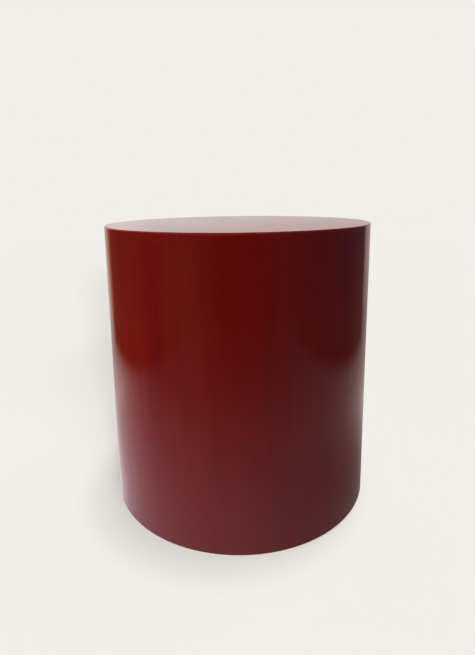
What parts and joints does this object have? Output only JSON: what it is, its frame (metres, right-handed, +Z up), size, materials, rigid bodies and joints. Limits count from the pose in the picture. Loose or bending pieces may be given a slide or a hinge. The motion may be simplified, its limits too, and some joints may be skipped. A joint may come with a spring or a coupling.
{
  "type": "round side table",
  "caption": "Round drum side table: a closed gloss-lacquered wall of bent plywood over ring ribs and uprights, a flush top with a rounded edge and low floor glides.",
  "frame": {"origin": "on the floor at the drum's axis, at the bottom centre of the box", "axes": "+Z up along the drum's axis, -Y towards the front, +Y towards the back, where the inner lamination's joint is"},
  "size_m": [0.483, 0.483, 0.508],
  "materials": {
    "red_lacquer": "deep red high-gloss lacquer over filled and sanded wood",
    "bending_plywood": "raw bending plywood, sanded",
    "ring_plywood": "raw birch plywood, routed edges",
    "pine": "planed softwood",
    "fibreboard": "sealed fibreboard with lacquer overspray at its rim",
    "zinc_steel": "zinc-plated steel",
    "nylon": "off-white moulded nylon"
  },
  "bodies": {
    "root": {"top_panel": "red_lacquer", "outer_skin": "red_lacquer", "inner_skin": "bending_plywood", "upper_rib": "ring_plywood", "middle_rib": "ring_plywood", "lower_rib": "ring_plywood", "base_panel": "fibreboard", "base_screws": "zinc_steel", "top_screws": "zinc_steel", "upright_screws": "zinc_steel", "glide_nails": "zinc_steel", "upright_1": "pine", "upright_2": "pine", "upright_3": "pine", "upright_4": "pine", "upright_5": "pine", "upright_6": "pine", "upright_7": "pine", "upright_8": "pine", "glide_1": "nylon", "glide_2": "nylon", "glide_3": "nylon", "glide_4": "nylon"}
  },
  "joints": []
}
